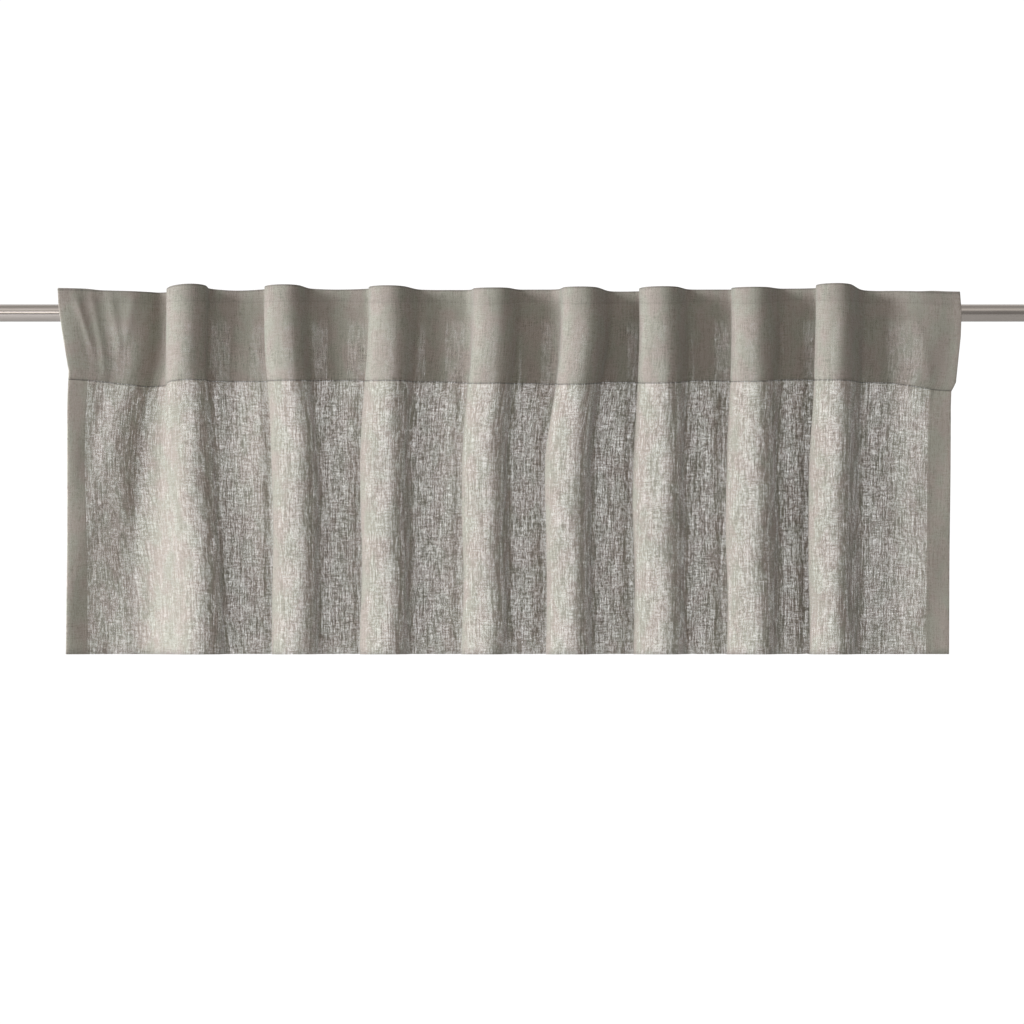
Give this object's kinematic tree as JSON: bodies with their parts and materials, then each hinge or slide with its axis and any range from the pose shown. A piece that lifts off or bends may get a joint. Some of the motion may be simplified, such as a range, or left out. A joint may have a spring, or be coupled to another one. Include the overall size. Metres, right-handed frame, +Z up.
{
  "type": "valance",
  "caption": "Short sheer linen valance with a deep double heading, hanging in soft folds from hidden back tabs on a round brushed steel rod.",
  "frame": {"origin": "the middle of the rod's axis", "axes": "+X along the rod to the viewer's right, +Y back towards the window, +Z up"},
  "size_m": [1.2, 0.0689, 0.4039],
  "materials": {
    "linen": "sheer, slubbed, grey-beige",
    "tab_webbing": "plain woven strap",
    "brushed_steel": "brushed along its length",
    "plug_plastic": "matte"
  },
  "bodies": {
    "root": {"panel": "linen", "back_tab_1": "tab_webbing", "back_tab_2": "tab_webbing", "back_tab_3": "tab_webbing", "back_tab_4": "tab_webbing", "back_tab_5": "tab_webbing", "back_tab_6": "tab_webbing", "back_tab_7": "tab_webbing", "back_tab_8": "tab_webbing", "back_tab_9": "tab_webbing", "rod": "brushed_steel", "end_plug_left": "plug_plastic", "end_plug_right": "plug_plastic"}
  },
  "joints": []
}
